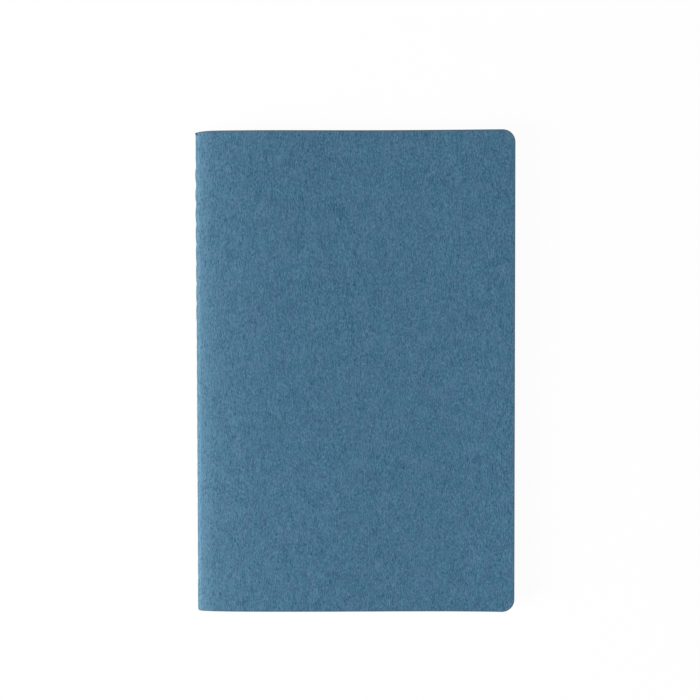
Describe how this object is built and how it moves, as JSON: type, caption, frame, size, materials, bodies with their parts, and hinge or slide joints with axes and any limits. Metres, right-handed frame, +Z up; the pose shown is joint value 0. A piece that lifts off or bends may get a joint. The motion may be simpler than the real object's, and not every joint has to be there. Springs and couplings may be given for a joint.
{
  "type": "softcover notebook",
  "caption": "Slim softcover notebook: a card cover with two rounded corners, folded round a section of paper leaves and thread-sewn through the fold; cover and leaves turn on the spine.",
  "frame": {"origin": "middle of the closed notebook's footprint, on the table that it lies on", "axes": "+X from the spine to the fore edge, +Y along the spine to the head, +Z up through the front cover"},
  "size_m": [0.1394, 0.21, 0.0064],
  "materials": {
    "cover_card": "matte",
    "page_paper": "matte",
    "sewing_thread": "matte"
  },
  "bodies": {
    "back_cover": {"back_cover": "cover_card"},
    "leaf_24": {"leaf_24": "page_paper"},
    "leaf_23": {"leaf_23": "page_paper"},
    "leaf_22": {"leaf_22": "page_paper"},
    "leaf_21": {"leaf_21": "page_paper"},
    "leaf_20": {"leaf_20": "page_paper"},
    "leaf_19": {"leaf_19": "page_paper"},
    "leaf_18": {"leaf_18": "page_paper"},
    "leaf_17": {"leaf_17": "page_paper"},
    "leaf_16": {"leaf_16": "page_paper"},
    "leaf_15": {"leaf_15": "page_paper"},
    "leaf_14": {"leaf_14": "page_paper"},
    "leaf_13": {"leaf_13": "page_paper", "outer_thread": "sewing_thread", "inner_thread": "sewing_thread"},
    "leaf_12": {"leaf_12": "page_paper"},
    "leaf_11": {"leaf_11": "page_paper"},
    "leaf_10": {"leaf_10": "page_paper"},
    "leaf_09": {"leaf_09": "page_paper"},
    "leaf_08": {"leaf_08": "page_paper"},
    "leaf_07": {"leaf_07": "page_paper"},
    "leaf_06": {"leaf_06": "page_paper"},
    "leaf_05": {"leaf_05": "page_paper"},
    "leaf_04": {"leaf_04": "page_paper"},
    "leaf_03": {"leaf_03": "page_paper"},
    "leaf_02": {"leaf_02": "page_paper"},
    "leaf_01": {"leaf_01": "page_paper"},
    "front_cover": {"front_cover": "cover_card"}
  },
  "joints": [
    {"name": "leaf_24_turning", "type": "hinge", "parent": "back_cover", "child": "leaf_24", "pos_m": [-0.06951, 0, 0.0032], "axis": [0, -1, 0], "range_deg": [0, 180]},
    {"name": "leaf_23_turning", "type": "hinge", "parent": "leaf_24", "child": "leaf_23", "pos_m": [-0.06951, 0, 0.0032], "axis": [0, -1, 0], "range_deg": [0, 180]},
    {"name": "leaf_22_turning", "type": "hinge", "parent": "leaf_23", "child": "leaf_22", "pos_m": [-0.06951, 0, 0.0032], "axis": [0, -1, 0], "range_deg": [0, 180]},
    {"name": "leaf_21_turning", "type": "hinge", "parent": "leaf_22", "child": "leaf_21", "pos_m": [-0.06951, 0, 0.0032], "axis": [0, -1, 0], "range_deg": [0, 180]},
    {"name": "leaf_20_turning", "type": "hinge", "parent": "leaf_21", "child": "leaf_20", "pos_m": [-0.06951, 0, 0.0032], "axis": [0, -1, 0], "range_deg": [0, 180]},
    {"name": "leaf_19_turning", "type": "hinge", "parent": "leaf_20", "child": "leaf_19", "pos_m": [-0.06951, 0, 0.0032], "axis": [0, -1, 0], "range_deg": [0, 180]},
    {"name": "leaf_18_turning", "type": "hinge", "parent": "leaf_19", "child": "leaf_18", "pos_m": [-0.06951, 0, 0.0032], "axis": [0, -1, 0], "range_deg": [0, 180]},
    {"name": "leaf_17_turning", "type": "hinge", "parent": "leaf_18", "child": "leaf_17", "pos_m": [-0.06951, 0, 0.0032], "axis": [0, -1, 0], "range_deg": [0, 180]},
    {"name": "leaf_16_turning", "type": "hinge", "parent": "leaf_17", "child": "leaf_16", "pos_m": [-0.06951, 0, 0.0032], "axis": [0, -1, 0], "range_deg": [0, 180]},
    {"name": "leaf_15_turning", "type": "hinge", "parent": "leaf_16", "child": "leaf_15", "pos_m": [-0.06951, 0, 0.0032], "axis": [0, -1, 0], "range_deg": [0, 180]},
    {"name": "leaf_14_turning", "type": "hinge", "parent": "leaf_15", "child": "leaf_14", "pos_m": [-0.06951, 0, 0.0032], "axis": [0, -1, 0], "range_deg": [0, 180]},
    {"name": "leaf_13_turning", "type": "hinge", "parent": "leaf_14", "child": "leaf_13", "pos_m": [-0.06951, 0, 0.0032], "axis": [0, -1, 0], "range_deg": [0, 180]},
    {"name": "leaf_12_turning", "type": "hinge", "parent": "leaf_13", "child": "leaf_12", "pos_m": [-0.06951, 0, 0.0032], "axis": [0, -1, 0], "range_deg": [0, 180]},
    {"name": "leaf_11_turning", "type": "hinge", "parent": "leaf_12", "child": "leaf_11", "pos_m": [-0.06951, 0, 0.0032], "axis": [0, -1, 0], "range_deg": [0, 180]},
    {"name": "leaf_10_turning", "type": "hinge", "parent": "leaf_11", "child": "leaf_10", "pos_m": [-0.06951, 0, 0.0032], "axis": [0, -1, 0], "range_deg": [0, 180]},
    {"name": "leaf_09_turning", "type": "hinge", "parent": "leaf_10", "child": "leaf_09", "pos_m": [-0.06951, 0, 0.0032], "axis": [0, -1, 0], "range_deg": [0, 180]},
    {"name": "leaf_08_turning", "type": "hinge", "parent": "leaf_09", "child": "leaf_08", "pos_m": [-0.06951, 0, 0.0032], "axis": [0, -1, 0], "range_deg": [0, 180]},
    {"name": "leaf_07_turning", "type": "hinge", "parent": "leaf_08", "child": "leaf_07", "pos_m": [-0.06951, 0, 0.0032], "axis": [0, -1, 0], "range_deg": [0, 180]},
    {"name": "leaf_06_turning", "type": "hinge", "parent": "leaf_07", "child": "leaf_06", "pos_m": [-0.06951, 0, 0.0032], "axis": [0, -1, 0], "range_deg": [0, 180]},
    {"name": "leaf_05_turning", "type": "hinge", "parent": "leaf_06", "child": "leaf_05", "pos_m": [-0.06951, 0, 0.0032], "axis": [0, -1, 0], "range_deg": [0, 180]},
    {"name": "leaf_04_turning", "type": "hinge", "parent": "leaf_05", "child": "leaf_04", "pos_m": [-0.06951, 0, 0.0032], "axis": [0, -1, 0], "range_deg": [0, 180]},
    {"name": "leaf_03_turning", "type": "hinge", "parent": "leaf_04", "child": "leaf_03", "pos_m": [-0.06951, 0, 0.0032], "axis": [0, -1, 0], "range_deg": [0, 180]},
    {"name": "leaf_02_turning", "type": "hinge", "parent": "leaf_03", "child": "leaf_02", "pos_m": [-0.06951, 0, 0.0032], "axis": [0, -1, 0], "range_deg": [0, 180]},
    {"name": "leaf_01_turning", "type": "hinge", "parent": "leaf_02", "child": "leaf_01", "pos_m": [-0.06951, 0, 0.0032], "axis": [0, -1, 0], "range_deg": [0, 180]},
    {"name": "front_cover_opening", "type": "hinge", "parent": "leaf_01", "child": "front_cover", "pos_m": [-0.06951, 0, 0.0032], "axis": [0, -1, 0], "range_deg": [0, 180]}
  ]
}
